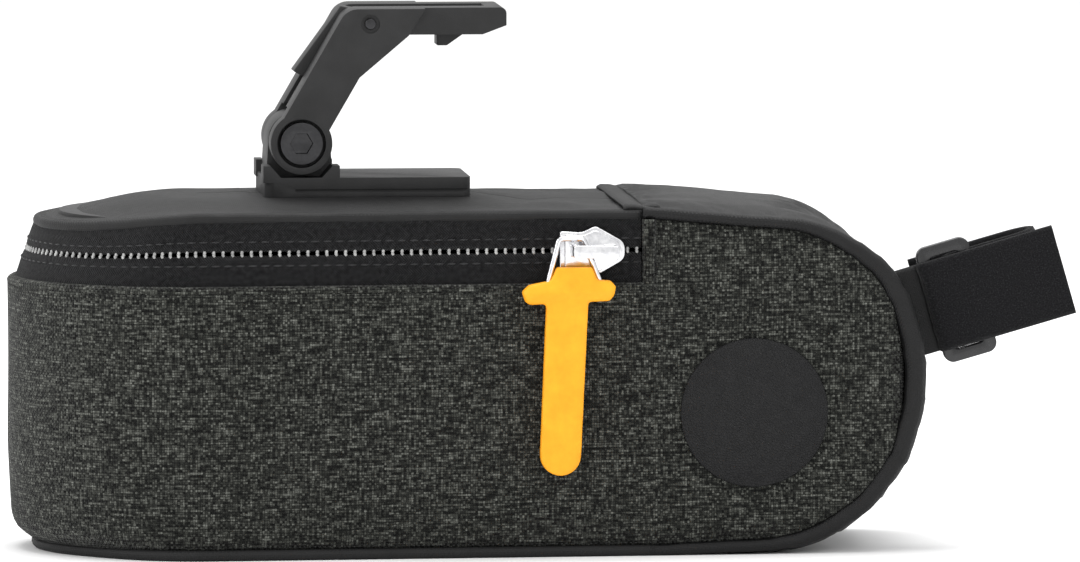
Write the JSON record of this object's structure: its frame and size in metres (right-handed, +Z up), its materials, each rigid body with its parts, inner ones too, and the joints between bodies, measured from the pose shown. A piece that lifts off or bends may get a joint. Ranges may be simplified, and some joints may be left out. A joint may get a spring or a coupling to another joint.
{
  "type": "saddle bag",
  "caption": "Small tapered under-saddle bag with a zip lid that hinges at the front, a forked sliding clip on the lid and a hook-and-loop strap for the seat post.",
  "frame": {"origin": "centre of the flat bottom", "axes": "+X towards the seat post, +Y to the far side, +Z up"},
  "size_m": [0.2137, 0.0769, 0.1091],
  "materials": {
    "heather_fabric": "grey heather weave",
    "coated_fabric": "black coated fabric, satin",
    "lining_fabric": "thin black nylon",
    "board_plastic": "matte",
    "tape_fabric": "black woven zip tape",
    "coil_plastic": "satin",
    "nylon": "matte black nylon",
    "steel": "plain",
    "black_steel": "black oxide",
    "chrome": "polished",
    "orange_rubber": "orange yellow, matte",
    "leatherette": "black, fine grain",
    "webbing": "black hook-and-loop webbing",
    "ring_plastic": "black, satin"
  },
  "bodies": {
    "bag": {"side_panel": "heather_fabric", "gusset": "coated_fabric", "lining": "lining_fabric", "base_board": "board_plastic", "hem_roll": "heather_fabric", "zip_tape_lower": "tape_fabric", "zip_coil_lower": "coil_plastic", "badge": "leatherette"},
    "lid": {"lid_panel": "coated_fabric", "lid_piping": "coated_fabric", "lid_board": "board_plastic", "zip_tape_upper": "tape_fabric", "zip_coil_upper": "coil_plastic", "backing_plate": "steel", "lid_screws": "black_steel", "clip_base": "nylon"},
    "clip_arm": {"clip_arm": "nylon", "pivot_bolt": "black_steel", "pivot_nut": "steel", "elbow_pin": "steel"},
    "latch": {"latch": "nylon", "latch_spring": "steel"},
    "slider": {"slider_body": "chrome", "slider_crown": "chrome", "lock_spring": "steel"},
    "pull": {"pull_wire": "chrome", "pull_tab": "orange_rubber"},
    "strap": {"strap_tab": "webbing", "strap_ring": "ring_plastic", "strap_loop": "webbing"}
  },
  "joints": [
    {"name": "lid_hinge", "type": "hinge", "parent": "bag", "child": "lid", "pos_m": [0.034, 0, 0.0702], "axis": [0, 1, 0], "range_deg": [0, 65]},
    {"name": "clip_pivot", "type": "hinge", "parent": "lid", "child": "clip_arm", "pos_m": [-0.0336, 0, 0.082], "axis": [0, 1, 0], "range_deg": [-20, 25]},
    {"name": "latch_press", "type": "hinge", "parent": "clip_arm", "child": "latch", "pos_m": [-0.0197, 0, 0.106], "axis": [0, -1, 0], "range_deg": [0, 11], "stiffness_Nm_per_rad": 0.05, "springref_deg": -11.46, "deforming": ["latch_spring"]},
    {"name": "slider_run", "type": "slide", "parent": "bag", "child": "slider", "axis": [-0.998, -0.0631, 0], "range_m": [0, 0.07]},
    {"name": "pull_swing", "type": "hinge", "parent": "slider", "child": "pull", "pos_m": [0.02206, -0.03626, 0.0619], "axis": [-0.3624, -0.0229, 0.9317], "range_deg": [0, 90]},
    {"name": "strap_swing", "type": "hinge", "parent": "bag", "child": "strap", "pos_m": [0.091, -0.0125, 0.05], "axis": [0, 0, 1], "range_deg": [-10, 10]}
  ]
}
